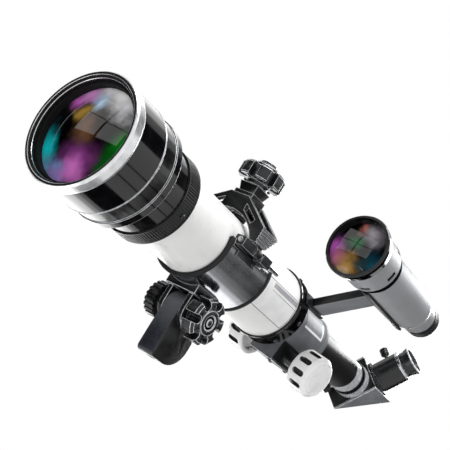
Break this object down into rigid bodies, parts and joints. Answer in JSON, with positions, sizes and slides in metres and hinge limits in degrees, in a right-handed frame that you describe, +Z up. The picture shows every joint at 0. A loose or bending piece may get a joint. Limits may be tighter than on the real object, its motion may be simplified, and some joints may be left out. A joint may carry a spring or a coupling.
{
  "type": "small refractor telescope",
  "caption": "Small achromatic refractor telescope tube in a tilting clamp cradle with a tripod socket, rack focuser, prism diagonal, eyepiece and finder.",
  "frame": {"origin": "centre of the mouth of the threaded tripod socket under the foot, straight below the tilt axis", "axes": "+Z up out of the foot; the tube lies along Y with its lens end towards -Y; +X is the side of the tilt knob"},
  "size_m": [0.1596, 0.4738, 0.1702],
  "materials": {
    "black_enamel": "gloss black paint on turned alloy",
    "white_enamel": "gloss white paint on a rolled alloy tube",
    "polished_rim": "polished",
    "satin_silver": "satin silver paint on alloy",
    "grey_casting": "satin grey paint on die-cast alloy",
    "steel": "zinc plated",
    "brass": "machined",
    "black_plastic": "moulded, satin",
    "white_plastic": "moulded, gloss",
    "black_alloy": "blackened",
    "rubber": "matt",
    "felt": "felt",
    "nylon": "nylon",
    "glass": "coated"
  },
  "bodies": {
    "foot": {"tripod_foot": "black_alloy", "tilt_bolt": "steel", "tilt_washers": "steel"},
    "tilt_knob": {"tilt_knob": "black_plastic", "tilt_cap": "black_plastic"},
    "tilt_nut": {"tilt_nut": "black_plastic"},
    "cradle": {"saddle": "steel", "saddle_edging": "rubber", "saddle_liner": "felt", "ear_bracket": "black_alloy", "hinge_plate": "black_alloy", "hinge_pin": "steel", "catch_plate": "black_alloy"},
    "bridge": {"clamp_bridge": "black_plastic", "clamp_bush": "brass"},
    "pad": {"clamp_shoe": "steel", "clamp_rubber": "rubber"},
    "clamp_knob": {"clamp_stud": "steel", "clamp_knob": "black_plastic", "clamp_cap": "black_plastic"},
    "tube": {"main_tube": "white_enamel", "baffles": "black_alloy", "barrel": "black_enamel", "bezel": "polished_rim", "lens_retainer": "black_alloy", "crown_lens": "glass", "lens_spacer": "black_alloy", "flint_lens": "glass", "neck": "black_enamel", "ribbed_ring": "black_plastic", "rear_cell": "black_enamel", "screws": "steel", "focuser_body": "grey_casting", "draw_liner": "nylon", "pinion_cover": "grey_casting", "finder_shoe": "black_alloy", "finder_arm": "grey_casting", "finder_front": "satin_silver", "finder_body": "satin_silver", "finder_lens": "glass", "finder_reticle": "black_alloy"},
    "focus": {"focus_shaft": "steel", "pinion": "brass", "focus_knob_near": "white_plastic", "focus_knob_far": "white_plastic"},
    "draw": {"drawtube": "black_enamel", "rack": "brass", "draw_collar": "polished_rim"},
    "collar_screw": {"collar_screw": "steel"},
    "diagonal": {"diagonal_nose": "polished_rim", "diagonal_housing": "black_plastic", "diagonal_sides": "black_plastic", "prism": "glass", "exit_tube": "black_plastic"},
    "exit_screw": {"exit_screw": "steel"},
    "eyepiece": {"eyepiece": "polished_rim", "eye_lenses": "glass", "eyecup": "black_plastic"},
    "finder_eye": {"finder_eyepiece": "black_plastic", "finder_eye_lens": "glass"}
  },
  "joints": [
    {"name": "tilt_knob_turn", "type": "hinge", "parent": "foot", "child": "tilt_knob", "pos_m": [0, 0, 0.041], "axis": [1, 0, 0], "range_deg": [0, 360]},
    {"name": "tilt_nut_turn", "type": "hinge", "parent": "foot", "child": "tilt_nut", "pos_m": [0, 0, 0.041], "axis": [1, 0, 0], "range_deg": [0, 360]},
    {"name": "tilt", "type": "hinge", "parent": "foot", "child": "cradle", "pos_m": [0, 0, 0.041], "axis": [-1, 0, 0], "range_deg": [-20, 50]},
    {"name": "bridge_swing", "type": "hinge", "parent": "cradle", "child": "bridge", "pos_m": [0.03588, 0, 0.10083], "axis": [0, 1, 0], "range_deg": [0, 100]},
    {"name": "pad_lift", "type": "slide", "parent": "bridge", "child": "pad", "axis": [0, 0, 1], "range_m": [0, 0.0025]},
    {"name": "clamp_turn", "type": "hinge", "parent": "pad", "child": "clamp_knob", "pos_m": [0, 0, 0.14873], "axis": [0, 0, 1], "range_deg": [0, 721]},
    {"name": "tube_slide", "type": "slide", "parent": "cradle", "child": "tube", "axis": [0, 1, 0], "range_m": [-0.01, 0.03]},
    {"name": "focus_turn", "type": "hinge", "parent": "tube", "child": "focus", "pos_m": [-0.00331, 0.137, 0.06626], "axis": [-0.9903, 0, 0.1392], "range_deg": [-451, 164.5]},
    {"name": "draw_slide", "type": "slide", "parent": "tube", "child": "draw", "axis": [0, 1, 0], "range_m": [-0.055, 0.02]},
    {"name": "collar_screw_turn", "type": "hinge", "parent": "draw", "child": "collar_screw", "pos_m": [0, 0.2541, 0.08983], "axis": [-0.7071, 0, -0.7071], "range_deg": [0, 720]},
    {"name": "diagonal_turn", "type": "hinge", "parent": "draw", "child": "diagonal", "pos_m": [0, 0.2588, 0.08983], "axis": [0, 1, 0], "continuous": true},
    {"name": "exit_screw_turn", "type": "hinge", "parent": "diagonal", "child": "exit_screw", "pos_m": [0.02062, 0.2768, 0.11623], "axis": [-0.788, 0, 0.6157], "range_deg": [0, 720]},
    {"name": "eyepiece_slide", "type": "slide", "parent": "diagonal", "child": "eyepiece", "axis": [0.6157, 0, 0.788], "range_m": [0, 0.015]},
    {"name": "finder_focus", "type": "slide", "parent": "tube", "child": "finder_eye", "axis": [0, 1, 0], "range_m": [0, 0.005]}
  ],
  "couplings": [
    {"joint": "focus_turn", "follows": "draw_slide", "rad_per_m": 142.86},
    {"joint": "clamp_turn", "follows": "pad_lift", "rad_per_m": 5026.5}
  ]
}
